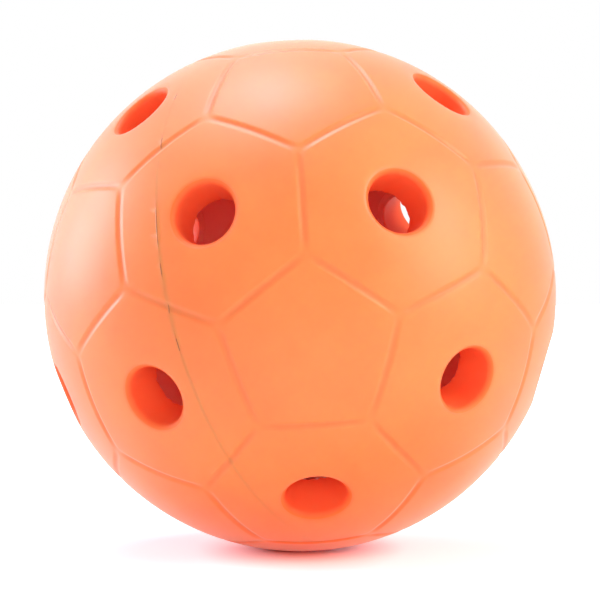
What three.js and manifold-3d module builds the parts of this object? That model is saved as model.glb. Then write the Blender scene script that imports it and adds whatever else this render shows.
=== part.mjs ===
// A goalball: a hollow rubber ball that players hear more than they see. It is moulded as two half
// shells, bonded edge to edge, with a round hole through each of its twenty six-sided panels. Three
// jingle bells lie loose inside. They are wider than the holes, so they stay in.
//
// Millimetres, with +Z up and the origin at the centre of the ball. The ball stands on the rim of the
// hole that faces straight down, and the parting plane faces +X, leaning up a little.

import * as THREE from 'three';
import { mergeVertices } from 'three/addons/utils/BufferGeometryUtils.js';
import Module from 'manifold-3d';

const wasm = await Module();
wasm.setup();

// Ball
const BALL_DIAMETER = 242;
const WALL_THICKNESS = 5.4;
const PARTING_GAP = 0.3;

// Grooves between the panels
const GROOVE_WIDTH = 4.4;
const GROOVE_DEPTH = 0.8;

// Holes: a flat ring at the mouth, a rounded rim, a slightly tapered bore, and a collar that carries
// the bore inwards past the wall
const BORE_DIAMETER = 27.8;
const BORE_END_DIAMETER = 26.6;
const RIM_ROUND = 2.5;
const RIM_LAND = 1.2;
const COLLAR_DEPTH = 21.8;
const COLLAR_WALL = 3.6;

// Jingle bells
const BELL_DIAMETER = 32;
const BELL_SHEET = 0.6;
const BELL_FLANGE = 0.5;
const BELL_CLEARANCE = 0.6;
const COLLAR_CLEARANCE = 0.4;
const SLOT_WIDTH = 2;
const SLOT_END_DIAMETER = 4;
const SLOT_END_ANGLE = 50;
const PELLET_DIAMETER = 9;
const PELLET_CLEARANCE = 0.6;

// Loop on top of each bell: a strip whose two feet pass through the upper cup and spread inside it
const LOOP_WIDTH = 3;
const LOOP_THICKNESS = 0.8;
const LOOP_OPENING = 5.6;
const LOOP_HEIGHT = 5.2;
const LOOP_BEND = 1;
const LOOP_FOOT = 2.4;
const LOOP_FOOT_SLOPE = 20;
const LOOP_SEAT_GAP = 0.6;

const PIECE_GAP = 0.3;

// Fineness of the facets
const EDGE_STEPS = 3;
const RIM_STEPS = 2;
const CUP_SEGMENTS = 16;
const CUP_STEPS = 4;
const SLOT_END_SEGMENTS = 8;
const LOOP_BEND_STEPS = 2;
const LOOP_ARCH_STEPS = 8;

const BALL_RADIUS = BALL_DIAMETER / 2;
const INNER_RADIUS = BALL_RADIUS - WALL_THICKNESS;
const COLLAR_RADIUS = BORE_END_DIAMETER / 2 + COLLAR_WALL;
const COLLAR_END = BALL_RADIUS - COLLAR_DEPTH;
const BELL_RADIUS = BELL_DIAMETER / 2;
const CUP_INSIDE = BELL_RADIUS - BELL_SHEET;

// A closed mesh with its shared vertices merged and its collapsed triangles left out
function weld(geometry) {
  const bare = geometry.clone();
  bare.deleteAttribute('normal');
  bare.deleteAttribute('uv');
  const merged = mergeVertices(bare);
  const index = merged.getIndex().array;
  const kept = [];
  for (let i = 0; i < index.length; i += 3) {
    const [a, b, c] = index.slice(i, i + 3);
    if (a !== b && b !== c && c !== a) kept.push(a, b, c);
  }
  merged.setIndex(kept);
  return merged;
}

function toSolid(geometry) {
  const welded = weld(geometry);
  return new wasm.Manifold(new wasm.Mesh({
    numProp: 3,
    vertProperties: Float32Array.from(welded.getAttribute('position').array),
    triVerts: Uint32Array.from(welded.getIndex().array),
  }));
}

function toGeometry(solid) {
  const mesh = solid.getMesh();
  const geometry = new THREE.BufferGeometry();
  geometry.setAttribute('position', new THREE.BufferAttribute(mesh.vertProperties, 3));
  geometry.setIndex(new THREE.BufferAttribute(mesh.triVerts, 1));
  geometry.computeVertexNormals();
  return geometry;
}

// A profile of [radius, height] points turned about the Z axis
function revolve(profile, segments) {
  const points = profile.map(([radius, height]) => new THREE.Vector2(radius, height));
  return new THREE.LatheGeometry(points, segments).rotateX(Math.PI / 2);
}

// The cosine and sine of evenly spaced angles
function turned(steps, from, to) {
  return Array.from({ length: steps + 1 }, (_, k) => {
    const angle = from + ((to - from) * k) / steps;
    return [Math.cos(angle), Math.sin(angle)];
  });
}

// Points on an arc, from one angle to another, counted from the first axis
function arc(centre, radius, from, to, steps) {
  return turned(steps, from, to).map(([c, s]) => [centre[0] + radius * c, centre[1] + radius * s]);
}

// The icosahedron behind the panel pattern, turned so that the middle of a face is straight up and a
// corner lies just above +X. Its twelve corners are the middles of the five-sided panels, its twenty
// faces are the six-sided ones, and the parting plane is square to the corner above +X.
function standingIcosahedron() {
  const solid = weld(new THREE.IcosahedronGeometry(1));
  const position = solid.getAttribute('position');
  const index = solid.getIndex().array;
  const corners = Array.from({ length: position.count }, (_, i) => (
    new THREE.Vector3().fromBufferAttribute(position, i).normalize()
  ));
  const faces = Array.from({ length: index.length / 3 }, (_, f) => (
    [index[3 * f], index[3 * f + 1], index[3 * f + 2]]
  ));
  const up = middle(faces[0].map((i) => corners[i]));
  const side = corners.find((corner) => corner.dot(up) > 0 && corner.dot(up) < 0.5);
  const ahead = side.clone().addScaledVector(up, -side.dot(up)).normalize();
  const turn = new THREE.Matrix4().makeBasis(ahead, up.clone().cross(ahead), up).transpose();
  corners.forEach((corner) => corner.applyMatrix4(turn));
  return { corners, faces, partingAxis: side };
}

function middle(directions) {
  return directions.reduce((sum, direction) => sum.add(direction), new THREE.Vector3()).normalize();
}

// A panel of the pattern: its centre, two directions square to it, and the directions of the points
// along its outline, in turn about the centre
function makePanel(centre, corners) {
  const outline = corners.flatMap((corner, k) => {
    const next = corners[(k + 1) % corners.length];
    return Array.from({ length: EDGE_STEPS }, (_, step) => (
      corner.clone().lerp(next, step / EDGE_STEPS).normalize()
    ));
  });
  const first = corners[0].clone().addScaledVector(centre, -corners[0].dot(centre)).normalize();
  const second = centre.clone().cross(first);
  const sideMiddle = middle([corners[0].clone(), corners[1]]);
  return { centre, first, second, outline, sideAngle: sideMiddle.angleTo(centre) };
}

// Each corner of the pattern lies a third of the way along an edge of the icosahedron
function makePanels({ corners, faces }) {
  const between = (from, to) => corners[from].clone().multiplyScalar(2).add(corners[to]).normalize();
  const sixSided = faces.map(([a, b, c]) => makePanel(
    middle([a, b, c].map((i) => corners[i])),
    [between(a, b), between(b, a), between(b, c), between(c, b), between(c, a), between(a, c)],
  ));
  const fiveSided = corners.map((corner, i) => {
    const around = faces.filter((face) => face.includes(i)).map((face) => face[(face.indexOf(i) + 1) % 3]);
    const ordered = [around[0]];
    while (ordered.length < around.length) {
      const last = ordered[ordered.length - 1];
      const face = faces.find((f) => f.includes(i) && f[(f.indexOf(i) + 1) % 3] === last);
      ordered.push(face[(face.indexOf(i) + 2) % 3]);
    }
    return makePanel(corner.clone(), ordered.map((j) => between(i, j)));
  });
  return { sixSided, fiveSided };
}

// The panel's outline, drawn in until the middle of each side is at an angle from the centre, on a
// sphere of a radius
function outlineRing(panel, angle, radius) {
  const scale = Math.tan(angle) / Math.tan(panel.sideAngle);
  return panel.outline.map((direction) => (
    direction.clone()
      .divideScalar(direction.dot(panel.centre))
      .sub(panel.centre)
      .multiplyScalar(scale)
      .add(panel.centre)
      .setLength(radius)
  ));
}

// A circle about the panel's centre line, with as many points as the outline
function circleRing(panel, [radius, height]) {
  const count = panel.outline.length;
  return panel.outline.map((_, k) => {
    const angle = (2 * Math.PI * k) / count;
    return panel.centre.clone()
      .multiplyScalar(height)
      .addScaledVector(panel.first, radius * Math.cos(angle))
      .addScaledVector(panel.second, radius * Math.sin(angle));
  });
}

function addBands(triangles, rings) {
  rings.slice(1).forEach((inner, r) => {
    const outer = rings[r];
    outer.forEach((point, k) => {
      const next = (k + 1) % outer.length;
      triangles.push(point, outer[next], inner[next], point, inner[next], inner[k]);
    });
  });
}

function addFan(triangles, ring, centre) {
  ring.forEach((point, k) => triangles.push(point, ring[(k + 1) % ring.length], centre));
}

// Half of a groove: from its deepest line up a smooth wave to the face of the panel
function grooveRings(panel) {
  const halfWidth = GROOVE_WIDTH / 2 / BALL_RADIUS;
  return [0, 0.5, 1].map((share) => {
    const depth = GROOVE_DEPTH * (1 + Math.cos(Math.PI * share)) / 2;
    return outlineRing(panel, panel.sideAngle - share * halfWidth, BALL_RADIUS - depth);
  });
}

function addSixSidedPanel(triangles, panel) {
  const grooves = grooveRings(panel);
  const boreRadius = BORE_DIAMETER / 2;
  const landInside = boreRadius + RIM_ROUND;
  const landOutside = landInside + RIM_LAND;
  const landHeight = Math.sqrt(BALL_RADIUS ** 2 - landOutside ** 2);
  const rimCentre = [landInside, landHeight - RIM_ROUND];
  const footHeight = Math.sqrt(INNER_RADIUS ** 2 - COLLAR_RADIUS ** 2);
  const land = circleRing(panel, [landOutside, landHeight]);
  const face = land.map((point, k) => (
    point.clone().add(grooves[grooves.length - 1][k]).setLength(BALL_RADIUS)
  ));
  const profile = [
    ...arc(rimCentre, RIM_ROUND, Math.PI / 2, Math.PI, RIM_STEPS),
    [BORE_END_DIAMETER / 2, COLLAR_END],
    [COLLAR_RADIUS, COLLAR_END],
    [COLLAR_RADIUS, footHeight],
  ];
  addBands(triangles, [
    ...grooves,
    face,
    land,
    ...profile.map((point) => circleRing(panel, point)),
    outlineRing(panel, panel.sideAngle, INNER_RADIUS),
  ]);
}

function addFiveSidedPanel(triangles, panel) {
  const outside = [
    ...grooveRings(panel),
    outlineRing(panel, panel.sideAngle / 2, BALL_RADIUS),
  ];
  addBands(triangles, outside);
  addFan(triangles, outside[outside.length - 1], panel.centre.clone().setLength(BALL_RADIUS));
  const inside = [panel.sideAngle, panel.sideAngle / 2].map((angle) => (
    outlineRing(panel, angle, INNER_RADIUS).reverse()
  ));
  addBands(triangles, inside);
  addFan(triangles, inside[inside.length - 1], panel.centre.clone().setLength(INNER_RADIUS));
}

function wholeShell(icosahedron) {
  const { sixSided, fiveSided } = makePanels(icosahedron);
  const triangles = [];
  sixSided.forEach((panel) => addSixSidedPanel(triangles, panel));
  fiveSided.forEach((panel) => addFiveSidedPanel(triangles, panel));
  return toSolid(new THREE.BufferGeometry().setFromPoints(triangles));
}

// A block that covers all of the ball on one side of the parting plane, and the gap
function sideBlock(partingAxis, side) {
  const size = 2 * BALL_DIAMETER;
  const block = new THREE.BoxGeometry(size, size, size).translate((size - PARTING_GAP) / 2, 0, 0);
  const axis = partingAxis.clone().multiplyScalar(side);
  const turn = new THREE.Quaternion().setFromUnitVectors(new THREE.Vector3(1, 0, 0), axis);
  return toSolid(block.applyQuaternion(turn));
}

// Upper cup: a thin dome with a flange at its edge, and two slots in its top for the loop's feet
function upperCup() {
  const flangeRadius = BELL_RADIUS + BELL_FLANGE;
  const low = PIECE_GAP / 2;
  const high = low + BELL_SHEET;
  const outsideStart = Math.asin(high / BELL_RADIUS);
  const insideStart = Math.asin(low / CUP_INSIDE);
  const dome = toSolid(revolve([
    ...arc([0, 0], CUP_INSIDE, Math.PI / 2, insideStart, CUP_STEPS),
    [flangeRadius, low],
    [flangeRadius, high],
    ...arc([0, 0], BELL_RADIUS, outsideStart, Math.PI / 2, CUP_STEPS),
  ], CUP_SEGMENTS));
  return [-1, 1].reduce((cup, side) => {
    const slot = new THREE.BoxGeometry(
      LOOP_THICKNESS + 2 * PIECE_GAP,
      LOOP_WIDTH + 2 * PIECE_GAP,
      BELL_RADIUS,
    ).translate(side * loopLegPlace(), 0, BELL_RADIUS);
    return cup.subtract(toSolid(slot));
  }, dome);
}

// Lower cup: a thin bowl whose edge is rolled up and over the upper cup's flange, with two crossed
// slots that end in round holes and let the sound out
function lowerCup() {
  const high = -PIECE_GAP / 2;
  const low = high - BELL_SHEET;
  const rollInside = BELL_RADIUS + BELL_FLANGE + PIECE_GAP;
  const rollOutside = rollInside + BELL_SHEET;
  const rollUnder = PIECE_GAP / 2 + BELL_SHEET + PIECE_GAP;
  const rollLip = BELL_RADIUS + PIECE_GAP;
  const outsideEnd = Math.asin(low / BELL_RADIUS);
  const insideStart = Math.asin(high / CUP_INSIDE);
  const bowl = toSolid(revolve([
    ...arc([0, 0], BELL_RADIUS, -Math.PI / 2, outsideEnd, CUP_STEPS),
    [rollOutside, low],
    [rollOutside, rollUnder + BELL_SHEET],
    [rollLip, rollUnder + BELL_SHEET],
    [rollLip, rollUnder],
    [rollInside, rollUnder],
    [rollInside, high],
    ...arc([0, 0], CUP_INSIDE, insideStart, -Math.PI / 2, CUP_STEPS),
  ], CUP_SEGMENTS));
  const endAngle = THREE.MathUtils.degToRad(SLOT_END_ANGLE);
  const reach = BELL_RADIUS * Math.sin(endAngle);
  const slots = [0, 1].map((quarter) => (
    new THREE.BoxGeometry(2 * reach, SLOT_WIDTH, BELL_RADIUS)
      .translate(0, 0, -BELL_RADIUS)
      .rotateZ((quarter * Math.PI) / 2)
  ));
  const slotEnds = [0, 1, 2, 3].map((quarter) => (
    new THREE.CylinderGeometry(
      SLOT_END_DIAMETER / 2,
      SLOT_END_DIAMETER / 2,
      BELL_RADIUS / 2,
      SLOT_END_SEGMENTS,
    )
      .rotateX(Math.PI / 2)
      .translate(0, 0, -BELL_RADIUS)
      .rotateY(-endAngle)
      .rotateZ((quarter * Math.PI) / 2)
  ));
  return [...slots, ...slotEnds].reduce((cup, cutter) => cup.subtract(toSolid(cutter)), bowl);
}

function loopLegPlace() {
  return (LOOP_OPENING + LOOP_THICKNESS) / 2;
}

// Loop: a flat strip, bent in the XZ plane. An arch on two upright legs goes through the slots, and
// each leg ends in a bend and a straight foot that lies along the inside of the cup.
function loopGeometry() {
  const leg = loopLegPlace();
  const slope = THREE.MathUtils.degToRad(LOOP_FOOT_SLOPE);
  const footRadius = CUP_INSIDE - LOOP_SEAT_GAP - LOOP_THICKNESS / 2;
  const bendX = leg + LOOP_BEND;
  const bendZ = (footRadius + LOOP_BEND - bendX * Math.sin(slope)) / Math.cos(slope);
  const archZ = BELL_RADIUS + LOOP_HEIGHT - LOOP_THICKNESS / 2 - leg;
  const bend = turned(LOOP_BEND_STEPS, 1.5 * Math.PI - slope, Math.PI).map(([c, s]) => ({
    at: [bendX + LOOP_BEND * c, bendZ + LOOP_BEND * s],
    out: [-c, -s],
  }));
  const tip = {
    at: [bend[0].at[0] + LOOP_FOOT * Math.cos(slope), bend[0].at[1] - LOOP_FOOT * Math.sin(slope)],
    out: bend[0].out,
  };
  const arch = turned(LOOP_ARCH_STEPS, 0, Math.PI).map(([c, s]) => ({
    at: [leg * c, archZ + leg * s],
    out: [c, s],
  }));
  const mirrored = [...bend].reverse().concat(tip).map(({ at, out }) => ({
    at: [-at[0], at[1]],
    out: [-out[0], out[1]],
  }));
  const line = [tip, ...bend, ...arch, ...mirrored];
  const edge = (side) => line.map(({ at, out }) => new THREE.Vector2(
    at[0] + (side * LOOP_THICKNESS * out[0]) / 2,
    at[1] + (side * LOOP_THICKNESS * out[1]) / 2,
  ));
  const shape = new THREE.Shape([...edge(1), ...edge(-1).reverse()]);
  const strip = new THREE.ExtrudeGeometry(shape, { depth: LOOP_WIDTH, bevelEnabled: false });
  return weld(strip.rotateX(Math.PI / 2).translate(0, LOOP_WIDTH / 2, 0));
}

// Where a bell comes to rest: it rolls down the inside of the ball until the collar of the lowest hole
// stops it. The result is the angle from straight down, and how far the bell is from the ball's centre.
function bellPlace() {
  const distance = INNER_RADIUS - BELL_CLEARANCE - BELL_RADIUS;
  const edge = Math.hypot(COLLAR_RADIUS, COLLAR_END);
  const reach = BELL_RADIUS + COLLAR_CLEARANCE;
  const angle = Math.atan2(COLLAR_RADIUS, COLLAR_END)
    + Math.acos((distance ** 2 + edge ** 2 - reach ** 2) / (2 * distance * edge));
  return { distance, angle };
}

const rubber = () => new THREE.MeshStandardMaterial({ color: '#ff9159', roughness: 0.5, metalness: 0 });
const nickel = () => new THREE.MeshStandardMaterial({ color: '#c8c5bd', roughness: 0.22, metalness: 1 });
const steel = () => new THREE.MeshStandardMaterial({ color: '#9b9da0', roughness: 0.3, metalness: 1 });

function piece(name, geometry, material) {
  const mesh = new THREE.Mesh(geometry, material);
  mesh.name = name;
  return mesh;
}

const goalball = new THREE.Group();

const icosahedron = standingIcosahedron();
const shell = wholeShell(icosahedron);
const rightSide = sideBlock(icosahedron.partingAxis, 1);
const leftSide = sideBlock(icosahedron.partingAxis, -1);
goalball.add(piece('right_half_shell', toGeometry(shell.subtract(leftSide)), rubber()));
goalball.add(piece('left_half_shell', toGeometry(shell.subtract(rightSide)), rubber()));

const upper = toGeometry(upperCup());
const lower = toGeometry(lowerCup());
const loop = loopGeometry();
const pellet = weld(new THREE.IcosahedronGeometry(PELLET_DIAMETER / 2, 1));
const place = bellPlace();

// The three five-sided panels round the lowest hole hold a bell each, a third of a turn apart
[1, 2, 3].forEach((number) => {
  const track = new THREE.Group();
  track.rotation.z = ((number - 1) * 2 * Math.PI) / 3;
  const bell = new THREE.Group();
  bell.position.set(place.distance * Math.sin(place.angle), 0, -place.distance * Math.cos(place.angle));
  bell.add(piece(`bell_${number}_upper_cup`, upper, nickel()));
  bell.add(piece(`bell_${number}_lower_cup`, lower, nickel()));
  bell.add(piece(`bell_${number}_loop`, loop, nickel()));
  const ball = piece(`bell_${number}_pellet`, pellet, steel());
  ball.position.z = PELLET_DIAMETER / 2 + PELLET_CLEARANCE - CUP_INSIDE;
  bell.add(ball);
  track.add(bell);
  goalball.add(track);
});

export default goalball;
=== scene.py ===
# %% [markdown]
# # A goalball, from working model to picture
#
# A goalball is a hollow rubber ball for players who can't see it: they hear the bells inside it.
# The working model already holds every piece at its real size, and how the bells move. This lesson
# gives the pieces their looks. We load the working model first. Nothing in it is moved, and every
# piece we make is built in the same place, in metres, with the centre of the ball at the origin.

# %% Load the working model
import math

import bmesh
import bpy
import numpy as np
from mathutils import Matrix, Vector


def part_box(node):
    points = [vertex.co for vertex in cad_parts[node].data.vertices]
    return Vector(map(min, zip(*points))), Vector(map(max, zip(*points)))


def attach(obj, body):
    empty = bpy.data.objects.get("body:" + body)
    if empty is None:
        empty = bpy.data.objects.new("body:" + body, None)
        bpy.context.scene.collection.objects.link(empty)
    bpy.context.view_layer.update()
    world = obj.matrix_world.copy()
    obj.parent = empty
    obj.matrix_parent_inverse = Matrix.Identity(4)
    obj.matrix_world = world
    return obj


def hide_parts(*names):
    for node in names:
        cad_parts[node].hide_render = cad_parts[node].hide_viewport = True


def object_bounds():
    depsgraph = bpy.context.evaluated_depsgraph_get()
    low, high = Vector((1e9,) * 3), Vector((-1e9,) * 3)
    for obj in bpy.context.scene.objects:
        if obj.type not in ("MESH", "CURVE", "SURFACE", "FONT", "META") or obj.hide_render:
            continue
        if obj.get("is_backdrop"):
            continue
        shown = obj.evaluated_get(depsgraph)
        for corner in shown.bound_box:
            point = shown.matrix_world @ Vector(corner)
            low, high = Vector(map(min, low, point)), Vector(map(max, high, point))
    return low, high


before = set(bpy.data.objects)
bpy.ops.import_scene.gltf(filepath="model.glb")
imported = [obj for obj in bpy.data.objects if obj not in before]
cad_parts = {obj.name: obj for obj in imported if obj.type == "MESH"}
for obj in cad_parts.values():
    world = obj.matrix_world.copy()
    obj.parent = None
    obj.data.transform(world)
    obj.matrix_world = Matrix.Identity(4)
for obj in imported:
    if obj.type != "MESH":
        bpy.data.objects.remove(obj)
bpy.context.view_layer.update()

print("pieces in the working model:", len(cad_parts))

# %% [markdown]
# ## Sizes
#
# A maker works in millimetres and Blender works in metres, so we keep every size of the ball in
# millimetres and turn it to metres only where a mesh is made. These are the sizes of the working
# model, apart from the grooves and the round of the rims. The working model has those in a few
# plain facets. Here they are soft curves and a little wider, and the grooves are 0.1 mm shallower.

# %% Sizes in millimetres
MM = 0.001

BALL_RADIUS = 121.0
INNER_RADIUS = 115.6
GROOVE_HALF_WIDTH = 2.6
GROOVE_DEPTH = 0.7
BORE_RADIUS = 13.9
BORE_END_RADIUS = 13.3
RIM_ROUND = 3.0
LAND_HEIGHT = 119.713
COLLAR_RADIUS = 16.9
COLLAR_END = 99.2

print(f"the ball is {2 * BALL_RADIUS:.0f} mm across, its holes {2 * BORE_RADIUS:.1f} mm")

# %% [markdown]
# ## The pattern of panels
#
# The mould has the pattern of a classic football. It comes from a solid with twelve corners and
# twenty triangles, the icosahedron: each corner becomes a five-sided panel, and each triangle,
# with its corners cut off, a six-sided one. The ball stands on the middle of a triangle, so the
# corners lie in four rows of three. The golden ratio gives the height of each row exactly.

# %% The twelve corners and twenty triangles
GOLDEN = (1 + math.sqrt(5)) / 2


def unit(vectors):
    """The same directions with length one."""
    return vectors / np.linalg.norm(vectors, axis=-1, keepdims=True)


def row_of_corners(polar, first_azimuth):
    """Three directions a third of a turn apart, at one angle from straight up."""
    azimuths = np.radians(first_azimuth + np.array([0.0, 120.0, 240.0]))
    around = np.stack([np.cos(azimuths), np.sin(azimuths), np.zeros(3)], axis=1)
    return math.sin(polar) * around + [0, 0, math.cos(polar)]


near_pole = math.atan(2 / GOLDEN**2)
near_middle = math.atan(2 * GOLDEN**2)
corners = np.concatenate([
    row_of_corners(near_pole, 60),
    row_of_corners(near_middle, 0),
    row_of_corners(math.pi - near_middle, 60),
    row_of_corners(math.pi - near_pole, 0),
])
neighbours = corners @ corners.T > 0.4
triangles = []
for a in range(12):
    for b in range(a + 1, 12):
        for c in range(b + 1, 12):
            if neighbours[a, b] and neighbours[b, c] and neighbours[a, c]:
                outward = np.linalg.det(corners[[a, b, c]]) > 0
                triangles.append((a, b, c) if outward else (a, c, b))
print(len(corners), "corners and", len(triangles), "triangles")

# %% Panels
POINTS_PER_SIDE = 14


def make_panel(panel_corners):
    """The outline of a panel, as directions from the centre of the ball, and its sides."""
    centre = unit(panel_corners.sum(axis=0))
    following = np.roll(panel_corners, -1, axis=0)
    step = (np.arange(POINTS_PER_SIDE) / POINTS_PER_SIDE)[None, :, None]
    outline = panel_corners[:, None] * (1 - step) + following[:, None] * step
    outline = outline.reshape(-1, 3)
    flat = outline / (outline @ centre)[:, None] - centre
    side_middle = unit(panel_corners[0] + panel_corners[1])
    return {
        "centre": centre,
        "corners": panel_corners,
        "sides": unit(np.cross(panel_corners, following)),
        "flat": flat,
        "around": unit(flat),
        "side_angle": math.acos(side_middle @ centre),
    }


def third_of_the_way(start, end):
    """The direction a third of the way from one corner to another."""
    return unit(2 * corners[start] + corners[end])


six_sided = [
    make_panel(np.array([third_of_the_way(s, e) for s, e in
                         ((a, b), (b, a), (b, c), (c, b), (c, a), (a, c))]))
    for a, b, c in triangles
]
five_sided = []
for corner in range(12):
    turn = {t[(t.index(corner) + 1) % 3]: t[(t.index(corner) + 2) % 3]
            for t in triangles if corner in t}
    order = [next(iter(turn))]
    while len(order) < 5:
        order.append(turn[order[-1]])
    five_sided.append(make_panel(np.array([third_of_the_way(corner, n) for n in order])))
print(len(six_sided), "six-sided and", len(five_sided), "five-sided panels")

# %% [markdown]
# ## The rubber skin
#
# Each panel is a set of rings, from its outline to its middle, joined by faces. The grooves are a
# soft wave pressed into the outer skin. Where three of them meet, the ridges that made them were
# filed down in the mould, so we blend the distances to the two nearest sides and fade the depth
# near a corner. Building the rings by formula keeps the faces small where the shape turns
# quickly, at the grooves and rims, and large where it is plain.
#
# Each ring also carries a number that says how far in it lies: 0 on the outer skin, 1 at the end of
# the bore and 2 on the inside. The material reads it later.

# %% The wave of a groove
CORNER_BLEND = 4.0
CORNER_FADE = 0.9
CORNER_REACH = 4.4


def groove_depth(panel, directions):
    """How deep the groove is at each direction, in millimetres."""
    to_sides = np.sort(BALL_RADIUS * np.arcsin(directions @ panel["sides"].T), axis=1)
    nearest, second = to_sides[:, 0], to_sides[:, 1]
    share = np.clip(1 - (second - nearest) / CORNER_BLEND, 0, 1)
    blended = np.clip((nearest - CORNER_BLEND * share**2 / 4) / GROOVE_HALF_WIDTH, 0, 1)
    to_corner = BALL_RADIUS * np.arccos(np.clip(directions @ panel["corners"].T, -1, 1)).min(axis=1)
    fade = 1 - CORNER_FADE * np.exp(-((to_corner / CORNER_REACH) ** 2))
    return GROOVE_DEPTH * fade * (1 + np.cos(math.pi * blended)) / 2


def skin_ring(panel, flat):
    """A ring on the outer skin, grooves included, from its points in the panel's flat plane."""
    directions = unit(panel["centre"] + flat)
    return directions * (BALL_RADIUS - groove_depth(panel, directions))[:, None]


def drawn_in(panel, distance):
    """The outline in the flat plane, a distance in from the sides, in millimetres."""
    angle = panel["side_angle"] - distance / BALL_RADIUS
    return panel["flat"] * math.tan(angle) / math.tan(panel["side_angle"])


groove_steps = [0.0, 0.45, 0.9, 1.35, 1.8, 2.2, 2.6, 3.0, 3.7]
print("rings across half a groove:", len(groove_steps))

# %% [markdown]
# ## Rims and bores
#
# Every six-sided panel has a hole. Its rim is well rounded outside, and a thick collar carries the
# bore inwards. At the inner end the core of the mould met the rest of it, and a ragged lip of
# flash was left there. A sum of a few sine waves with set starting angles gives such a lip:
# it is uneven, closes on itself, and comes out the same each time.

# %% An uneven wave round a ring
def uneven_wave(angles, cycles, seed):
    """Values near -1 to 1 that vary round a ring and meet at its ends."""
    starts = np.random.default_rng(seed).uniform(0, 2 * math.pi, len(cycles))
    waves = [np.sin(n * angles + start) for n, start in zip(cycles, starts)]
    return np.sum(waves, axis=0) / math.sqrt(len(cycles))


print("a wave at four points:", uneven_wave(np.radians([0, 90, 180, 270]), (3, 7), 1).round(2))

# %% The turned profile of a hole
LIP_ROUND = 0.5
FOOT_ROUND = 2.2
COLLAR_EDGE = 0.5

rim_centre_height = math.sqrt((BALL_RADIUS - RIM_ROUND) ** 2 - (BORE_RADIUS + RIM_ROUND) ** 2)
rim_start = math.atan2(rim_centre_height, BORE_RADIUS + RIM_ROUND)


def arc_points(centre, radius, start, end, steps):
    """Points [radius, height] on an arc."""
    angles = np.linspace(start, end, steps + 1)
    return [(centre[0] + radius * math.cos(a), centre[1] + radius * math.sin(a)) for a in angles]


rim_profile = [
    (radius, min(height, LAND_HEIGHT)) for radius, height in
    arc_points((BORE_RADIUS + RIM_ROUND, rim_centre_height), RIM_ROUND, rim_start, math.pi, 7)
]
bore_profile = [
    (BORE_RADIUS + (BORE_END_RADIUS - BORE_RADIUS) * share,
     rim_centre_height + (COLLAR_END + LIP_ROUND - rim_centre_height) * share)
    for share in (0.15, 0.35, 0.55, 0.75, 0.9)
]
lip_profile = arc_points((BORE_END_RADIUS + LIP_ROUND, COLLAR_END + LIP_ROUND), LIP_ROUND,
                         math.pi, 1.5 * math.pi, 3)
foot_centre_height = math.sqrt((INNER_RADIUS - FOOT_ROUND) ** 2 - (COLLAR_RADIUS + FOOT_ROUND) ** 2)
foot_end = math.atan2(foot_centre_height, COLLAR_RADIUS + FOOT_ROUND)
collar_profile = [
    (COLLAR_RADIUS - COLLAR_EDGE, COLLAR_END),
    (COLLAR_RADIUS, COLLAR_END + COLLAR_EDGE),
    (COLLAR_RADIUS, (COLLAR_END + foot_centre_height) / 2),
    *arc_points((COLLAR_RADIUS + FOOT_ROUND, foot_centre_height), FOOT_ROUND, math.pi, foot_end, 3),
]
print("profile points of a hole:", len(rim_profile + bore_profile + lip_profile + collar_profile))

# %% Rings of both kinds of panel
RIM_END = 0.7
LIP_RAGGED = 0.28
RAGGED_SIDEWAYS = 0.6


def profile_ring(panel, radius, height):
    """A ring round the axis of a hole, from its radius and its height at each point."""
    up = panel["centre"] * np.reshape(height, (-1, 1))
    out = panel["around"] * np.reshape(radius, (-1, 1))
    return up + out


def six_sided_rings(panel, seed):
    """From the groove over the rim, through the bore, and back along the inside to the outline."""
    rings = [(skin_ring(panel, drawn_in(panel, step)), 0) for step in groove_steps]
    outer = drawn_in(panel, groove_steps[-1])
    rim_radius, rim_height = rim_profile[0]
    inner = panel["around"] * rim_radius / rim_height
    for share in (0.12, 0.26, 0.42, 0.58, 0.74, 0.88):
        rings.append((skin_ring(panel, outer * (1 - share) + inner * share), 0))
    for step, (radius, height) in enumerate(rim_profile):
        rings.append((profile_ring(panel, radius, height), RIM_END * step / (len(rim_profile) - 1)))
    for step, (radius, height) in enumerate(bore_profile, 1):
        way_in = RIM_END + (1 - RIM_END) * step / len(bore_profile)
        rings.append((profile_ring(panel, radius, height), way_in))
    turn = np.linspace(0, 2 * math.pi, len(panel["around"]), endpoint=False)
    ragged = LIP_RAGGED * uneven_wave(turn, (3, 7, 12, 19, 26), seed)
    for step, (radius, height) in enumerate(lip_profile):
        ring = profile_ring(panel, radius + RAGGED_SIDEWAYS * ragged, height + ragged)
        rings.append((ring, 1 + step / (len(lip_profile) - 1)))
    rings += [(profile_ring(panel, radius, height), 2) for radius, height in collar_profile]
    foot_radius, foot_height = collar_profile[-1]
    foot = panel["around"] * foot_radius / foot_height
    for share in (0.3, 0.65, 1.0):
        flat = foot * (1 - share) + panel["flat"] * share
        rings.append((unit(panel["centre"] + flat) * INNER_RADIUS, 2))
    return rings


def five_sided_rings(panel):
    """The outer skin from the groove to the middle, then the inside from the middle out."""
    outer = drawn_in(panel, groove_steps[-1])
    outside = [(skin_ring(panel, drawn_in(panel, step)), 0) for step in groove_steps]
    outside += [(skin_ring(panel, outer * share), 0) for share in (0.84, 0.66, 0.48, 0.3, 0.14)]
    inside = [(unit(panel["centre"] + panel["flat"] * share)[::-1] * INNER_RADIUS, 2)
              for share in (1.0, 0.75, 0.5, 0.25)]
    return outside, inside


print("rings of a six-sided panel:", len(six_sided_rings(six_sided[0], 0)))

# %% Join the rings into one closed skin
SAME_POINT = 0.01


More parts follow.
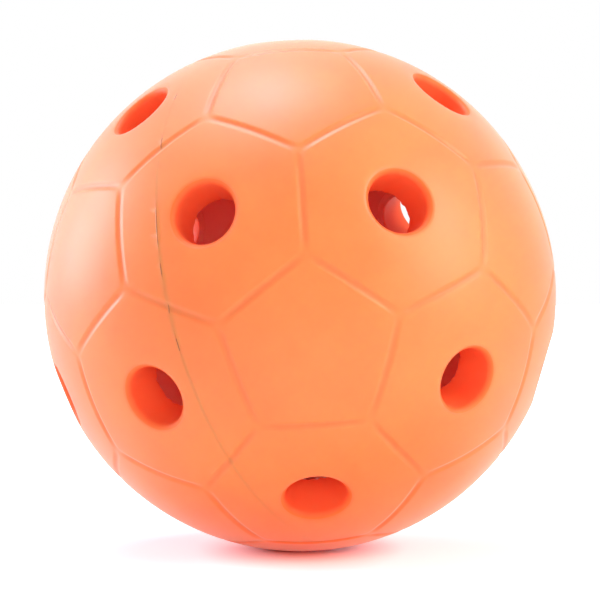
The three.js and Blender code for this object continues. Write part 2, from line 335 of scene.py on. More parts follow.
def add_rings(points, ways_in, faces, rings, middle=None):
    """Adds rings and the faces between them, and closes the last ring over a middle point."""
    start = len(points)
    count = len(rings[0][0])
    for ring, way_in in rings:
        points.extend(ring)
        ways_in.extend([way_in] * count)
    for r in range(len(rings) - 1):
        for k in range(count):
            here, beside = start + r * count + k, start + r * count + (k + 1) % count
            faces.append((here, beside, beside + count, here + count))
    if middle is not None:
        points.append(middle)
        ways_in.append(rings[-1][1])
        last = start + (len(rings) - 1) * count
        faces.extend((last + k, last + (k + 1) % count, len(points) - 1) for k in range(count))


points, ways_in, faces = [], [], []
for number, panel in enumerate(six_sided):
    add_rings(points, ways_in, faces, six_sided_rings(panel, number))
for panel in five_sided:
    outside, inside = five_sided_rings(panel)
    add_rings(points, ways_in, faces, outside, panel["centre"] * BALL_RADIUS)
    add_rings(points, ways_in, faces, inside, panel["centre"] * INNER_RADIUS)
skin = bmesh.new()
way_in_layer = skin.verts.layers.float.new("way_in")
skin_vertices = []
for point, way_in in zip(points, ways_in):
    vertex = skin.verts.new(Vector(point) * MM)
    vertex[way_in_layer] = way_in
    skin_vertices.append(vertex)
for face in faces:
    skin.faces.new([skin_vertices[i] for i in face])
bmesh.ops.remove_doubles(skin, verts=skin.verts, dist=SAME_POINT * MM)
print(len(skin.faces), "faces; open edges:", sum(edge.is_boundary for edge in skin.edges))

# %% [markdown]
# ## The parting line
#
# The ball is moulded as two halves that are bonded edge to edge. Outside, that leaves a fine line.
# It shows on a few short stretches, where the edges don't quite meet and a hair of flash stands up,
# and hardly at all between them. We cut the skin in two at the parting plane and close each cut. A
# second cut just beside it gives the flash an edge of its own. A list says where the stretches lie,
# in degrees round the ball from its top, and the far side has the same ones.

# %% Where the parting line is open
OPEN_STRETCHES = [(38, 1.4), (52.5, 2.2), (72.8, 6.5), (82.3, 2.2), (90.5, 1.4), (98, 2)]

parting_axis = Vector(corners[3])
across = parting_axis.cross(Vector((0, 1, 0))).normalized()
along = parting_axis.cross(across)


def openness(point):
    """How far the line is open at a point, from 0 to 1. It is full on half of each stretch."""
    angle = math.degrees(math.atan2(point.dot(along), point.dot(across))) % 180
    shares = [2 - 2 * abs(angle - middle) / half for middle, half in OPEN_STRETCHES]
    return min(max(*shares, 0), 1)


print("open stretches of the parting line:", 2 * len(OPEN_STRETCHES))

# %% Cut the skin into two halves
WIDEST_GAP = 0.15
CLOSED_GAP = 0.002
FLASH_WIDTH = 0.35
FLASH_HEIGHT = 0.12
NEAR_THE_CUT = 0.05
BORE_FROM = 0.25


def half_of_skin(name, side):
    """One half of the skin as an object, with its cut edge closed."""
    half = skin.copy()
    axis = parting_axis * side
    for offset in (FLASH_WIDTH, 0):
        geometry = [*half.verts, *half.edges, *half.faces]
        bmesh.ops.bisect_plane(half, geom=geometry, dist=NEAR_THE_CUT * MM, plane_no=axis,
                               plane_co=axis * offset * MM, clear_inner=offset == 0)
    rim_edges = [edge for edge in half.edges if edge.is_boundary]
    rim_vertices = {vertex for edge in rim_edges for vertex in edge.verts}
    for vertex in rim_vertices:
        outside = vertex.co.length > (BALL_RADIUS + INNER_RADIUS) / 2 * MM
        opened = openness(vertex.co)
        gap = CLOSED_GAP + (WIDEST_GAP - CLOSED_GAP) * opened
        vertex.co += axis * (gap / 2 * MM - vertex.co.dot(axis))
        if outside:
            vertex.co += vertex.co.normalized() * FLASH_HEIGHT * opened * MM
    bmesh.ops.bridge_loops(half, edges=rim_edges)
    bmesh.ops.recalc_face_normals(half, faces=half.faces)
    for face in half.faces:
        face.smooth = True
        ways_in = [vertex[half.verts.layers.float["way_in"]] for vertex in face.verts]
        face.material_index = 1 if sum(ways_in) / len(ways_in) > BORE_FROM else 0
    for edge in rim_edges:
        edge.smooth = False
    mesh = bpy.data.meshes.new(name)
    half.to_mesh(mesh)
    half.free()
    piece = bpy.data.objects.new(name, mesh)
    bpy.context.scene.collection.objects.link(piece)
    return piece


halves = {
    "right_half_shell": half_of_skin("right_half_skin", 1),
    "left_half_shell": half_of_skin("left_half_skin", -1),
}
skin.free()
for node, piece in halves.items():
    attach(piece, "ball")
    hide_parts(node)
    print(piece.name, len(piece.data.vertices), "vertices")

# %% [markdown]
# ## Nodes and colours
#
# A material is a small network of nodes. One function adds a node, sets its properties, and fills
# its inputs with numbers or with links to other nodes. Colours are written as the hex values of
# a picture, and a second function turns them to the linear values that the renderer works in.

# %% Helpers for materials
def socket_named(sockets, name):
    """The socket in use with that name. Some nodes have several, of which one is in use."""
    return next(s for s in sockets if s.name == name and s.enabled)


def add_node(tree, kind, settings=None, inputs=None):
    """Adds a node with its settings, and sets or links its inputs."""
    node = tree.nodes.new(kind)
    for name, value in (settings or {}).items():
        setattr(node, name, value)
    for name, value in (inputs or {}).items():
        socket = node.inputs[name] if isinstance(name, int) else socket_named(node.inputs, name)
        if isinstance(value, bpy.types.NodeSocket):
            tree.links.new(value, socket)
        else:
            socket.default_value = value
    return node


def linear(colour):
    """An sRGB hex colour, such as '#ff9159', as linear red, green, blue and alpha."""
    shares = [int(colour[i:i + 2], 16) / 255 for i in (1, 3, 5)]
    return [s / 12.92 if s <= 0.04045 else ((s + 0.055) / 1.055) ** 2.4 for s in shares] + [1.0]


def new_material(name):
    """An empty material, its node tree and its output node."""
    material = bpy.data.materials.new(name)
    material.use_nodes = True
    material.node_tree.nodes.clear()
    output = add_node(material.node_tree, "ShaderNodeOutputMaterial")
    return material, material.node_tree, output


print("orange in linear values:", [round(value, 3) for value in linear("#ff9159")[:3]])

# %% [markdown]
# ## Moulded rubber
#
# Natural rubber with an orange pigment, pressed in a mould. It is matt but not dull: the
# mould was blasted with fine grit, so the skin shows broad pale highlights and turns lighter
# towards the outline, like felt. Light sinks a few millimetres into it and comes out redder, and it
# strikes the walls of a bore many times, so the bores glow a deep red-orange. Their colour is also
# made redder, which paints part of that glow. The grooves are given a darker colour, painted shade.
# A faint bloom has paled the skin unevenly. The inside is given a much paler colour, painted light
# that brightens what bounces about inside the ball. The bores were never blasted, so they shine
# less and let more light in: one function makes both materials. Along the parting line a little
# brown adhesive was squeezed out where the line is open, and it was wiped off between. A ramp with
# a step up and a step down for each open stretch says where it is, and a noise breaks it up every
# few millimetres.

# %% Colours and scales of the rubber, and the adhesive
# Light reaches furthest into the rubber in red, and that gives thin edges and bores their glow.
LIGHT_REACH = (1.0, 0.16, 0.07)
SHEEN_COLOUR = "#fff2ea"
SKIN_COLOUR = "#fe7d35"
SKIN_BLOOM = "#fe863d"
# Painted shade: the grooves are given a darker colour, as if shade lay in them.
GROOVE_PAINTED_SHADE = "#ee7835"
# Partly painted glow: the bores are given a redder colour, like the one that light bouncing in a
# bore gives them.
BORE_COLOUR_AND_GLOW = "#fe6a3e"
# Painted light: the inside is given a much paler colour, so light bounced about inside the ball
# comes out brighter.
PALE_INSIDE_FOR_BOUNCE = "#febcb0"
JOINT_COLOUR = "#d4622a"
JOINT_LINE = 0.35
JOINT_BREAK = 7.0
BLOOM_PATCH = 45.0
GROOVE_SHADE_FROM = 0.1
BORE_GLOW_FULL = 0.65
# Blasting grit is about 0.2 mm. It is drawn coarser, because the render wouldn't show it otherwise.
GRIT = 0.55


def on_the_joint(tree, place):
    """How much adhesive there is at a place: on the line, in the open stretches, broken up."""
    from_plane, along_line, across_line = [
        add_node(tree, "ShaderNodeVectorMath", {"operation": "DOT_PRODUCT"}, {
            0: place, 1: direction}).outputs["Value"]
        for direction in (parting_axis, along, across)]
    from_plane = add_node(tree, "ShaderNodeMath", {"operation": "ABSOLUTE"}, {0: from_plane})
    at_line = add_node(tree, "ShaderNodeMapRange", {}, {
        "Value": from_plane.outputs["Value"],
        "From Min": JOINT_LINE * MM, "From Max": 0.5 * JOINT_LINE * MM})
    angle = add_node(tree, "ShaderNodeMath", {"operation": "ARCTAN2"}, {
        0: along_line, 1: across_line})
    angle = add_node(tree, "ShaderNodeMath", {"operation": "WRAP"}, {
        0: angle.outputs["Value"], 1: math.pi, 2: 0.0})
    half_turn = add_node(tree, "ShaderNodeMapRange", {}, {
        "Value": angle.outputs["Value"], "From Max": math.pi})
    stretch = add_node(tree, "ShaderNodeValToRGB", {}, {"Fac": half_turn.outputs["Result"]})
    stops = stretch.color_ramp.elements
    stops[1].color = stops[0].color
    for middle, half in OPEN_STRETCHES:
        for share, level in ((-1, 0), (-0.5, 1), (0.5, 1), (1, 0)):
            stops.new((middle + share * half) / 180).color = (level, level, level, 1)
    broken = add_node(tree, "ShaderNodeTexNoise", {}, {
        "Vector": place, "Scale": 1 / (JOINT_BREAK * MM), "Detail": 3.0})
    squeezed = add_node(tree, "ShaderNodeMath", {"operation": "ADD"}, {
        0: stretch.outputs["Color"], 1: broken.outputs["Fac"]})
    squeezed = add_node(tree, "ShaderNodeMapRange", {}, {
        "Value": squeezed.outputs["Value"], "From Min": 1.1, "From Max": 1.4})
    return add_node(tree, "ShaderNodeMath", {"operation": "MULTIPLY"}, {
        0: at_line.outputs["Result"], 1: squeezed.outputs["Result"]}).outputs["Value"]


print("the adhesive shows", 2 * JOINT_LINE, "mm wide at most")

# %% Colour of the rubber
def rubber_colour(tree, place, bloom):
    """The skin's colour, with the grooves' painted shade, the bores' partly painted glow, the paler
    inside and the adhesive mixed over it.
    """
    bloom_share = add_node(tree, "ShaderNodeMapRange", {}, {
        "Value": bloom, "From Min": 0.35, "From Max": 0.65})
    from_centre = add_node(tree, "ShaderNodeVectorMath", {"operation": "LENGTH"}, {"Vector": place})
    painted_groove_shade = add_node(tree, "ShaderNodeMapRange", {}, {
        "Value": from_centre.outputs["Value"],
        "From Min": (BALL_RADIUS - GROOVE_SHADE_FROM) * MM,
        "From Max": (BALL_RADIUS - GROOVE_DEPTH) * MM})
    way_in = add_node(tree, "ShaderNodeAttribute", {"attribute_name": "way_in"}).outputs["Fac"]
    bore_colour_and_glow_share = add_node(tree, "ShaderNodeMapRange", {}, {
        "Value": way_in, "From Min": 0.0, "From Max": BORE_GLOW_FULL})
    painted_inside_light = add_node(tree, "ShaderNodeMapRange", {}, {
        "Value": way_in, "From Min": 1.0, "From Max": 2.0})
    colour = linear(SKIN_COLOUR)
    for share, next_colour in (
            (bloom_share.outputs["Result"], SKIN_BLOOM),
            (painted_groove_shade.outputs["Result"], GROOVE_PAINTED_SHADE),
            (bore_colour_and_glow_share.outputs["Result"], BORE_COLOUR_AND_GLOW),
            (painted_inside_light.outputs["Result"], PALE_INSIDE_FOR_BOUNCE),
            (on_the_joint(tree, place), JOINT_COLOUR)):
        mix = add_node(tree, "ShaderNodeMix", {"data_type": "RGBA"}, {
            "Factor": share, "A": colour, "B": linear(next_colour)})
        colour = socket_named(mix.outputs, "Result")
    return colour


print("colours of the rubber:", SKIN_COLOUR, SKIN_BLOOM, GROOVE_PAINTED_SHADE, BORE_COLOUR_AND_GLOW)

# %% Orange moulded rubber
def moulded_rubber(name, shine, sheen, light_share, light_depth):
    """The rubber as a material, with how much it shines and how far light gets into it."""
    material, tree, output = new_material(name)
    place = add_node(tree, "ShaderNodeTexCoord").outputs["Object"]
    bloom = add_node(tree, "ShaderNodeTexNoise", {}, {
        "Vector": place, "Scale": 1 / (BLOOM_PATCH * MM), "Detail": 4.0,
        "Roughness": 0.55}).outputs["Fac"]
    grit = add_node(tree, "ShaderNodeTexNoise", {}, {
        "Vector": place, "Scale": 1 / (GRIT * MM), "Detail": 3.0, "Roughness": 0.6})
    roughness = add_node(tree, "ShaderNodeMapRange", {}, {
        "Value": bloom, "From Min": 0.3, "From Max": 0.7, "To Min": 0.42, "To Max": 0.5})
    relief = add_node(tree, "ShaderNodeBump", {}, {
        "Height": grit.outputs["Fac"], "Strength": 0.25, "Distance": 0.06 * MM})
    surface = add_node(tree, "ShaderNodeBsdfPrincipled", {}, {
        "Base Color": rubber_colour(tree, place, bloom),
        "Roughness": roughness.outputs["Result"],
        "Normal": relief.outputs["Normal"],
        "IOR": 1.52,
        "Specular IOR Level": shine,
        "Subsurface Weight": light_share,
        "Subsurface Radius": LIGHT_REACH,
        "Subsurface Scale": light_depth * MM,
        "Sheen Weight": sheen,
        "Sheen Roughness": 0.4,
        "Sheen Tint": linear(SHEEN_COLOUR),
    })
    tree.links.new(surface.outputs["BSDF"], output.inputs["Surface"])
    return material


skin_rubber = moulded_rubber("moulded_rubber_orange", 0.7, 0.55, 0.6, 6.0)
bore_rubber = moulded_rubber("moulded_rubber_bore", 0.2, 0.0, 0.4, 4.0)
for piece in halves.values():
    piece.data.materials.append(skin_rubber)
    piece.data.materials.append(bore_rubber)
print("rubber nodes:", len(skin_rubber.node_tree.nodes))

# %% [markdown]
# ## Jingle bells
#
# Each bell is pressed from thin sheet: an upper cup with a flange, a lower cup whose edge is rolled
# over that flange, a loop whose feet spread inside, and a loose steel pellet. The working model
# has them with few facets. Here the cups are turned from the same profile with many more, the roll
# gets its round edge, and the slots are cut with a boolean. The loop is a flat strip: four points
# are carried along its bent middle line, and a bevel breaks its sharp edges, as tumbling does.

# %% Sizes of a bell in millimetres
BELL_RADIUS = 16.0
SHEET = 0.6
FLANGE = 0.5
PIECE_GAP = 0.3
SLOT_WIDTH = 2.0
SLOT_END_RADIUS = 2.0
SLOT_END_ANGLE = math.radians(50)
ROLL_INSET = 0.35
LOOP_WIDTH = 3.0
LOOP_THICKNESS = 0.8
LOOP_LEG = 3.2
LOOP_HEIGHT = 5.2
LOOP_BEND = 1.0
LOOP_FOOT = 2.4
LOOP_FOOT_SLOPE = math.radians(20)
LOOP_SEAT_GAP = 0.6
PELLET_RADIUS = 4.5
CUP_INSIDE = BELL_RADIUS - SHEET
CUP_STEPS = 18
TURN_STEPS = 72

print("a bell is", 2 * BELL_RADIUS, "mm across")

# %% Turn a profile, and cut a mesh
def turned(profile):
    """A closed profile of [radius, height] points turned about Z, as a bmesh."""
    shape = bmesh.new()
    points = [shape.verts.new((radius * MM, 0, height * MM)) for radius, height in profile]
    for here, beside in zip(points, points[1:] + points[:1]):
        shape.edges.new((here, beside))
    bmesh.ops.spin(shape, geom=[*shape.verts, *shape.edges], axis=(0, 0, 1), cent=(0, 0, 0),
                   angle=2 * math.pi, steps=TURN_STEPS, use_merge=True)
    bmesh.ops.remove_doubles(shape, verts=shape.verts, dist=SAME_POINT * MM)
    bmesh.ops.dissolve_degenerate(shape, edges=shape.edges, dist=SAME_POINT / 2 * MM)
    bmesh.ops.recalc_face_normals(shape, faces=shape.faces)
    return shape


def mesh_from(shape, name):
    """Makes a mesh of a bmesh, and frees the bmesh."""
    mesh = bpy.data.meshes.new(name)
    shape.to_mesh(mesh)
    shape.free()
    return mesh


def cut_with(mesh, cutters):
    """The mesh with every cutter taken out of it, and the slivers along the cuts merged away."""
    body = bpy.data.objects.new(mesh.name, mesh)
    bpy.context.scene.collection.objects.link(body)
    tools = []
    for cutter in cutters:
        tool = bpy.data.objects.new("cutter", cutter)
        bpy.context.scene.collection.objects.link(tool)
        modifier = body.modifiers.new("cut", "BOOLEAN")
        modifier.operation = "DIFFERENCE"
        modifier.solver = "EXACT"
        modifier.object = tool
        tools.append(tool)
    evaluated = body.evaluated_get(bpy.context.evaluated_depsgraph_get())
    cleaned = bmesh.new()
    cleaned.from_mesh(evaluated.to_mesh())
    bmesh.ops.remove_doubles(cleaned, verts=cleaned.verts, dist=SAME_POINT * MM)
    bmesh.ops.dissolve_degenerate(cleaned, edges=cleaned.edges, dist=SAME_POINT * MM)
    name = mesh.name
    for helper in (body, *tools):
        bpy.data.objects.remove(helper)
    return mesh_from(cleaned, name)


print("a cup is turned in", TURN_STEPS, "steps")

# %% Cutters for the slots
def box_mesh(size, place, turn=0.0):
    """A box of a size at a place, then turned about Z. All in millimetres."""
    shape = bmesh.new()
    matrix = (Matrix.Rotation(turn, 4, "Z") @ Matrix.Translation(Vector(place) * MM)
              @ Matrix.Diagonal((*[side * MM for side in size], 1)))
    bmesh.ops.create_cube(shape, size=1, matrix=matrix)
    return mesh_from(shape, "box")


def slot_end_mesh(turn):
    """The round hole at the end of a slot, square to the cup's wall there."""
    shape = bmesh.new()
    matrix = (Matrix.Rotation(turn, 4, "Z") @ Matrix.Rotation(-SLOT_END_ANGLE, 4, "Y")
              @ Matrix.Translation((0, 0, -BELL_RADIUS * MM)))
    bmesh.ops.create_cone(shape, cap_ends=True, segments=28, radius1=SLOT_END_RADIUS * MM,
                          radius2=SLOT_END_RADIUS * MM, depth=BELL_RADIUS / 2 * MM, matrix=matrix)
    return mesh_from(shape, "slot_end")


print("the slots are", SLOT_WIDTH, "mm wide, their round ends", 2 * SLOT_END_RADIUS, "mm")

# %% The two cups
def upper_cup_mesh():
    """The dome with its flange, and a slot for each foot of the loop."""
    low, high = PIECE_GAP / 2, PIECE_GAP / 2 + SHEET
    edge = BELL_RADIUS + FLANGE
    profile = [
        *arc_points((0, 0), CUP_INSIDE, math.pi / 2, math.asin(low / CUP_INSIDE), CUP_STEPS),
        (edge, low),
        (edge, high),
        *arc_points((0, 0), BELL_RADIUS, math.asin(high / BELL_RADIUS), math.pi / 2, CUP_STEPS),
    ]
    slots = [box_mesh((LOOP_THICKNESS + 2 * PIECE_GAP, LOOP_WIDTH + 2 * PIECE_GAP, BELL_RADIUS),
                      (side * LOOP_LEG, 0, BELL_RADIUS)) for side in (-1, 1)]
    return cut_with(mesh_from(turned(profile), "upper_cup"), slots)


def lower_cup_mesh():
    """The bowl with its edge rolled over the flange, and two crossed slots with round ends."""
    high = -PIECE_GAP / 2
    low = high - SHEET
    inside = BELL_RADIUS + FLANGE + PIECE_GAP
    top = PIECE_GAP / 2 + SHEET + PIECE_GAP
    lip = BELL_RADIUS + PIECE_GAP
    roll_centre = (inside - ROLL_INSET, (high + top) / 2)
    roll = (top - high) / 2 + SHEET
    profile = [
        *arc_points((0, 0), BELL_RADIUS, -math.pi / 2, math.asin(low / BELL_RADIUS), CUP_STEPS),
        (roll_centre[0], roll_centre[1] - roll),
        *arc_points(roll_centre, roll, -math.pi / 3, math.pi / 3, 6),
        (roll_centre[0], top + SHEET),
        (lip, top + SHEET),
        (lip, top),
        (inside, top),
        (inside, high),
        *arc_points((0, 0), CUP_INSIDE, math.asin(high / CUP_INSIDE), -math.pi / 2, CUP_STEPS),
    ]
    reach = BELL_RADIUS * math.sin(SLOT_END_ANGLE)
    quarters = [quarter * math.pi / 2 for quarter in range(4)]
    slots = [box_mesh((2 * reach, SLOT_WIDTH, BELL_RADIUS), (0, 0, -BELL_RADIUS), turn)
             for turn in quarters[:2]]
    return cut_with(mesh_from(turned(profile), "lower_cup"),
                    slots + [slot_end_mesh(turn) for turn in quarters])


shapes = {"upper_cup": upper_cup_mesh(), "lower_cup": lower_cup_mesh()}
print("faces of the cups:", [len(mesh.polygons) for mesh in shapes.values()])

# %% The loop
LOOP_EDGE = 0.12
SHARP = math.radians(40)


def loop_mesh():
    """A flat strip, bent into an arch on two legs whose feet spread inside the upper cup."""
    foot_radius = CUP_INSIDE - LOOP_SEAT_GAP - LOOP_THICKNESS / 2
    slope_across, slope_up = math.cos(LOOP_FOOT_SLOPE), math.sin(LOOP_FOOT_SLOPE)
    bend_x = LOOP_LEG + LOOP_BEND
    bend_z = (foot_radius + LOOP_BEND - bend_x * slope_up) / slope_across
    arch_z = BELL_RADIUS + LOOP_HEIGHT - LOOP_THICKNESS / 2 - LOOP_LEG
    bend = np.array(arc_points((0, 0), 1, 1.5 * math.pi - LOOP_FOOT_SLOPE, math.pi, 8))
    arch = np.array(arc_points((0, 0), 1, 0, math.pi / 2, 16))
    bend_line = [bend_x, bend_z] + LOOP_BEND * bend
    tip = bend_line[0] + LOOP_FOOT * np.array([slope_across, -slope_up])
    line = np.vstack([tip, bend_line, [0, arch_z] + LOOP_LEG * arch])
    outward = np.vstack([-bend[:1], -bend, arch])
    mirror = np.array([-1, 1])
    line = np.vstack([line, line[-2::-1] * mirror])
    outward = np.vstack([outward, outward[-2::-1] * mirror])
    shape = bmesh.new()
    rings = []
    side = LOOP_WIDTH / 2
    for at, out in zip(line, outward):
        outer_x, outer_z = at + out * LOOP_THICKNESS / 2
        inner_x, inner_z = at - out * LOOP_THICKNESS / 2
        section = ((outer_x, side, outer_z), (outer_x, -side, outer_z),
                   (inner_x, -side, inner_z), (inner_x, side, inner_z))
        rings.append([shape.verts.new(Vector(point) * MM) for point in section])
    for ring, following in zip(rings, rings[1:]):
        for k in range(4):
            shape.faces.new((ring[k], ring[k - 1], following[k - 1], following[k]))
    shape.faces.new(rings[0])
    shape.faces.new(rings[-1][::-1])
    bmesh.ops.recalc_face_normals(shape, faces=shape.faces)
    sharp = [edge for edge in shape.edges if edge.calc_face_angle() > SHARP]
    bmesh.ops.bevel(shape, geom=sharp, offset=LOOP_EDGE * MM, segments=3, profile=0.5,
                    affect="EDGES")
    return mesh_from(shape, "loop")


shapes["loop"] = loop_mesh()
print("faces of the loop:", len(shapes["loop"].polygons))

# %% [markdown]
# ## Place the bells
#
# The working model says where each bell lies and which way it is turned: the lower cup's box gives
# its centre, and the bells stand a third of a turn apart. The pellet's own box gives its centre.

# %% Dress the three bells
THIRD_OF_A_TURN = 2 * math.pi / 3

nickel_pieces, steel_pieces = [], []


def dress(name, mesh, body, node):
    """A piece that rides on a body and stands for a node of the working model."""
    mesh.shade_smooth()
    mesh.set_sharp_from_angle(angle=SHARP)
    piece = bpy.data.objects.new(name, mesh)
    bpy.context.scene.collection.objects.link(piece)
    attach(piece, body)
    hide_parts(node)
    return piece


for number in (1, 2, 3):
    bell = f"bell_{number}"
    low_corner, high_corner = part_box(f"{bell}_lower_cup")
    middle = (low_corner + high_corner) / 2
    middle.z = low_corner.z + BELL_RADIUS * MM
    turn = Matrix.Rotation((number - 1) * THIRD_OF_A_TURN, 4, "Z")
    for name, mesh in shapes.items():
        mesh = mesh.copy()
        mesh.transform(Matrix.Translation(middle) @ turn)
        node = f"{bell}_{name}"
        nickel_pieces.append(dress(f"{node}_pressed", mesh, bell, node))
    low_corner, high_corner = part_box(f"{bell}_pellet")
    ball = bmesh.new()
    bmesh.ops.create_icosphere(ball, subdivisions=4, radius=PELLET_RADIUS * MM,
                               matrix=Matrix.Translation((low_corner + high_corner) / 2))
    steel_pieces.append(dress(f"{bell}_pellet_tumbled", mesh_from(ball, "pellet"),
                              f"pellet_{number}", f"{bell}_pellet"))
    print(bell, "at", [round(value / MM, 1) for value in middle])

# %% [markdown]
# ## Metals
#
# The bells are bright nickel over pressed steel. The plating follows every mark of the press, so
# it shines with a slight waviness and a few fine scratches. The pellets are steel that was
# tumbled with grit until it was round: duller, with a fine even grain.

# %% Material: bright nickel plate
NICKEL_COLOUR = "#d6d1c6"
NICKEL_SHADE = "#b9b2a4"
PRESS_WAVE = 6.0
SCRATCH_SPACING = 0.8

nickel, tree, output = new_material("bright_nickel_plate")
place = add_node(tree, "ShaderNodeTexCoord").outputs["Object"]
wave = add_node(tree, "ShaderNodeTexNoise", {}, {
    "Vector": place, "Scale": 1 / (PRESS_WAVE * MM), "Detail": 2.0})
scratch = add_node(tree, "ShaderNodeTexNoise", {}, {
    "Vector": place, "Scale": 1 / (SCRATCH_SPACING * MM), "Detail": 6.0, "Distortion": 1.5})
tarnish = add_node(tree, "ShaderNodeMapRange", {}, {
    "Value": wave.outputs["Fac"], "From Min": 0.35, "From Max": 0.7, "To Min": 0.14, "To Max": 0.3})
tone = add_node(tree, "ShaderNodeMix", {"data_type": "RGBA"}, {
    "Factor": wave.outputs["Fac"], "A": linear(NICKEL_COLOUR), "B": linear(NICKEL_SHADE)})
relief = add_node(tree, "ShaderNodeBump", {}, {
    "Height": scratch.outputs["Fac"], "Strength": 0.2, "Distance": 0.02 * MM})
surface = add_node(tree, "ShaderNodeBsdfPrincipled", {}, {
    "Base Color": socket_named(tone.outputs, "Result"), "Metallic": 1.0,
    "Roughness": tarnish.outputs["Result"], "Normal": relief.outputs["Normal"]})
tree.links.new(surface.outputs["BSDF"], output.inputs["Surface"])
print("nickel nodes:", len(tree.nodes))

# %% Material: tumbled steel
STEEL_COLOUR = "#a3a4a6"
STEEL_SHADE = "#8b8c8f"
# Tumbling leaves a grain of about 0.05 mm. It is drawn coarser, so that a close render shows it.
TUMBLED_GRAIN = 0.35

steel, tree, output = new_material("tumbled_steel")
place = add_node(tree, "ShaderNodeTexCoord").outputs["Object"]
grain = add_node(tree, "ShaderNodeTexNoise", {}, {
    "Vector": place, "Scale": 1 / (TUMBLED_GRAIN * MM), "Detail": 3.0})
tone = add_node(tree, "ShaderNodeMix", {"data_type": "RGBA"}, {
    "Factor": grain.outputs["Fac"], "A": linear(STEEL_COLOUR), "B": linear(STEEL_SHADE)})
relief = add_node(tree, "ShaderNodeBump", {}, {
    "Height": grain.outputs["Fac"], "Strength": 0.3, "Distance": 0.02 * MM})
surface = add_node(tree, "ShaderNodeBsdfPrincipled", {}, {
    "Base Color": socket_named(tone.outputs, "Result"), "Metallic": 1.0,
    "Roughness": 0.34, "Normal": relief.outputs["Normal"]})
tree.links.new(surface.outputs["BSDF"], output.inputs["Surface"])
print("steel nodes:", len(tree.nodes))

# %% Give the metals to the bells
for piece in nickel_pieces:
    piece.data.materials.append(nickel)
for piece in steel_pieces:
    piece.data.materials.append(steel)
print("nickel pieces:", len(nickel_pieces), "and steel pieces:", len(steel_pieces))

# %% [markdown]
# ## Floor, background and light
#
# The ball stands on a white sweep, with large soft lights to its left, its right and above. A
# fourth stands in front, behind the camera and a little above it, and lights the bores. The lights
# and the world are kept at a level at which the rubber renders about as its colour is written. The
# background is white to the camera and to reflections only. What lights the ball is less than that.
#
# In such a picture the sweep is a little overexposed, and only the shadow close to the ball is
# left. So, for the camera alone, the paper gives off some light of its own: none under the ball,
# and more further out. It is faintly violet, like the brightener in white paper. In the photograph
# the ball leans a few degrees over the edge of the rim that it stands on. The working model stands
# flat, so the camera is rolled by that angle, and the sweep is tilted with it.

# %% Where the photograph was taken from
CAMERA_AZIMUTH = math.radians(28.42)
CAMERA_ELEVATION = math.radians(0.99)
CAMERA_ROLL = math.radians(-3.24)

back = Vector((math.sin(CAMERA_AZIMUTH) * math.cos(CAMERA_ELEVATION),
               -math.cos(CAMERA_AZIMUTH) * math.cos(CAMERA_ELEVATION),
               math.sin(CAMERA_ELEVATION)))
level_right = Vector((math.cos(CAMERA_AZIMUTH), math.sin(CAMERA_AZIMUTH), 0))
level_up = back.cross(level_right)
print("the camera looks from", [round(value, 3) for value in back])

# %% Floor
# The outer edge of the ring that the ball stands on, in millimetres.
LAND_OUTER_RADIUS = 17.6
# The sizes of the floor and the lights are in metres.
FLOOR_WIDTH = 12.0

floor_mesh = bpy.data.meshes.new("white_sweep")
shape = bmesh.new()
bmesh.ops.create_grid(shape, x_segments=4, y_segments=4, size=FLOOR_WIDTH / 2)
shape.to_mesh(floor_mesh)
shape.free()
floor = bpy.data.objects.new("white_sweep", floor_mesh)
floor_up = Vector((0, 0, 1)) * math.cos(CAMERA_ROLL) - level_right * math.sin(CAMERA_ROLL)
floor_right = floor_up.cross(level_right).normalized().cross(floor_up)
floor_drop = LAND_HEIGHT * math.cos(CAMERA_ROLL) + LAND_OUTER_RADIUS * abs(math.sin(CAMERA_ROLL))
floor.matrix_world = Matrix.Translation(-floor_up * floor_drop * MM) @ (
    Matrix((floor_right, floor_up.cross(floor_right), floor_up)).transposed().to_4x4())
bpy.context.scene.collection.objects.link(floor)
floor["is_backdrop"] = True
print("floor", round(floor_drop, 2), "mm below the centre of the ball")

# %% Material: white paper
# These sizes are in metres too.
CONTACT_RADIUS = 0.013
SHADOW_RADIUS = 0.05
PAPER_PATCH = 0.2
PAPER_COLOUR = "#f4f4f3"
PAPER_SHADE = "#f7f6f5"
PAPER_GLOW = "#f7edff"

paper, tree, output = new_material("white_paper_sweep")
paper_grain = add_node(tree, "ShaderNodeTexNoise", {}, {
    "Scale": FLOOR_WIDTH / PAPER_PATCH, "Detail": 3.0})
paper_tone = add_node(tree, "ShaderNodeMix", {"data_type": "RGBA"}, {
    "Factor": paper_grain.outputs["Fac"], "A": linear(PAPER_COLOUR), "B": linear(PAPER_SHADE)})
paper_surface = add_node(tree, "ShaderNodeBsdfDiffuse", {}, {
    "Color": socket_named(paper_tone.outputs, "Result")})
path = add_node(tree, "ShaderNodeLightPath")
place = add_node(tree, "ShaderNodeTexCoord").outputs["Object"]
place = add_node(tree, "ShaderNodeMapping", {}, {
    "Vector": place, "Scale": (1.0, 0.5, 1.0)}).outputs["Vector"]
from_ball = add_node(tree, "ShaderNodeVectorMath", {"operation": "LENGTH"}, {"Vector": place})
far = add_node(tree, "ShaderNodeMapRange", {}, {
    "Value": from_ball.outputs["Value"],
    "From Min": 0.2, "From Max": 0.8, "To Min": 0.5, "To Max": 1.2})
lift = add_node(tree, "ShaderNodeMapRange", {}, {
    "Value": from_ball.outputs["Value"],
    "From Min": CONTACT_RADIUS, "From Max": SHADOW_RADIUS, "To Max": far.outputs["Result"]})
lift = add_node(tree, "ShaderNodeMath", {"operation": "MULTIPLY"}, {
    0: path.outputs["Is Camera Ray"], 1: lift.outputs["Result"]})
glow = add_node(tree, "ShaderNodeEmission", {}, {
    "Color": linear(PAPER_GLOW), "Strength": lift.outputs["Value"]})
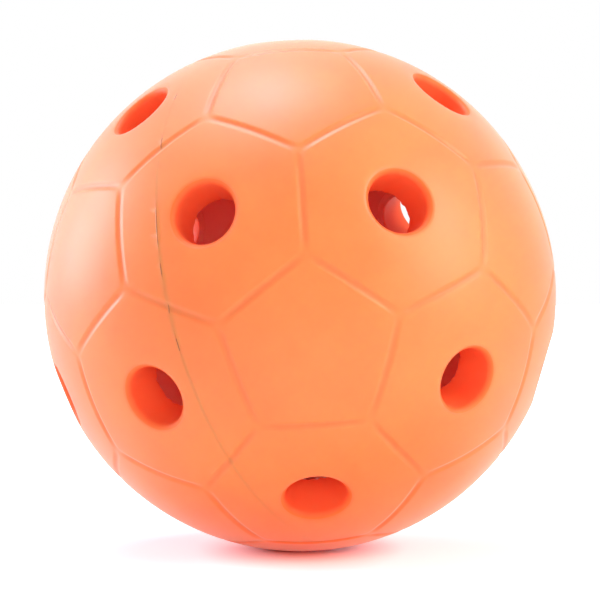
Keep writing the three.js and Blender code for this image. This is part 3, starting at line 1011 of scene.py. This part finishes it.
both = add_node(tree, "ShaderNodeAddShader", {}, {
    0: paper_surface.outputs["BSDF"], 1: glow.outputs["Emission"]})
tree.links.new(both.outputs["Shader"], output.inputs["Surface"])
floor_mesh.materials.append(paper)
print("paper nodes:", len(tree.nodes))

# %% World
WORLD_LEVEL = 0.45

world = bpy.data.worlds.new("white_room")
bpy.context.scene.world = world
world.use_nodes = True
tree = world.node_tree
tree.nodes.clear()
path = add_node(tree, "ShaderNodeLightPath")
seen = add_node(tree, "ShaderNodeMath", {"operation": "MAXIMUM"}, {
    0: path.outputs["Is Camera Ray"], 1: path.outputs["Is Glossy Ray"]})
seen = add_node(tree, "ShaderNodeMath", {"operation": "MAXIMUM"}, {
    0: seen.outputs["Value"], 1: path.outputs["Is Transmission Ray"]})
strength = add_node(tree, "ShaderNodeMapRange", {}, {
    "Value": seen.outputs["Value"], "To Min": WORLD_LEVEL, "To Max": 1.0})
background = add_node(tree, "ShaderNodeBackground", {}, {
    "Color": linear("#ffffff"), "Strength": strength.outputs["Result"]})
add_node(tree, "ShaderNodeOutputWorld", {}, {"Surface": background.outputs["Background"]})
print("world level:", WORLD_LEVEL)

# %% Soft lights
def soft_light(name, right, up, towards, size, power, colour):
    """A square soft light at a place given from the camera's point of view, aimed at the ball."""
    lamp = bpy.data.lights.new(name, "AREA")
    lamp.shape = "RECTANGLE"
    lamp.size, lamp.size_y = size
    lamp.energy = power
    lamp.color = linear(colour)[:3]
    holder = bpy.data.objects.new(name, lamp)
    holder.location = level_right * right + level_up * up + back * towards
    holder.rotation_mode = "QUATERNION"
    holder.rotation_quaternion = (-holder.location).to_track_quat("-Z", "Y")
    holder.visible_camera = False
    bpy.context.scene.collection.objects.link(holder)
    return holder


soft_light("left_softbox", -1.4, 0.55, -0.55, (0.6, 0.9), 14.5, "#eff2ff")
soft_light("right_softbox", 1.2, 0.45, 0.5, (0.6, 0.9), 12, "#fff4e0")
soft_light("top_softbox", -0.2, 1.5, -0.15, (0.9, 0.8), 16.5, "#eff2ff")
front = soft_light("front_softbox", 0.3, 0.25, 2.2, (1.2, 0.6), 14, "#ffffff")
front.visible_glossy = False
print("four soft lights")

# %% Camera
# The distance is in metres. The rest is in millimetres.
CAMERA_DISTANCE = 1.249
FOCAL_LENGTH = 157.8
SENSOR_WIDTH = 36.0
AIM_BELOW_CENTRE = 2.2
# Light strikes the walls of a bore many times before it comes out.
LIGHT_BOUNCES = 24

right = level_right * math.cos(CAMERA_ROLL) + level_up * math.sin(CAMERA_ROLL)
up = level_up * math.cos(CAMERA_ROLL) - level_right * math.sin(CAMERA_ROLL)
lens = bpy.data.cameras.new("product_camera")
lens.lens = FOCAL_LENGTH
lens.sensor_width = SENSOR_WIDTH
camera = bpy.data.objects.new("product_camera", lens)
camera.matrix_world = Matrix.Translation(back * CAMERA_DISTANCE - up * AIM_BELOW_CENTRE * MM) @ (
    Matrix((right, up, back)).transposed().to_4x4())
bpy.context.scene.collection.objects.link(camera)
bpy.context.scene.camera = camera
bpy.context.scene.view_settings.view_transform = "Standard"
bpy.context.scene.cycles.max_bounces = LIGHT_BOUNCES
bpy.context.scene.cycles.diffuse_bounces = LIGHT_BOUNCES
print("camera at", [round(value, 3) for value in camera.location])

# %% [markdown]
# ## Finish
#
# The last step prints the box round the finished pieces, in millimetres.

# %% Sizes of the finished pieces
final_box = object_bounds()
for axis, low, high in zip("xyz", *final_box):
    print(axis, round(low / MM, 2), round(high / MM, 2))
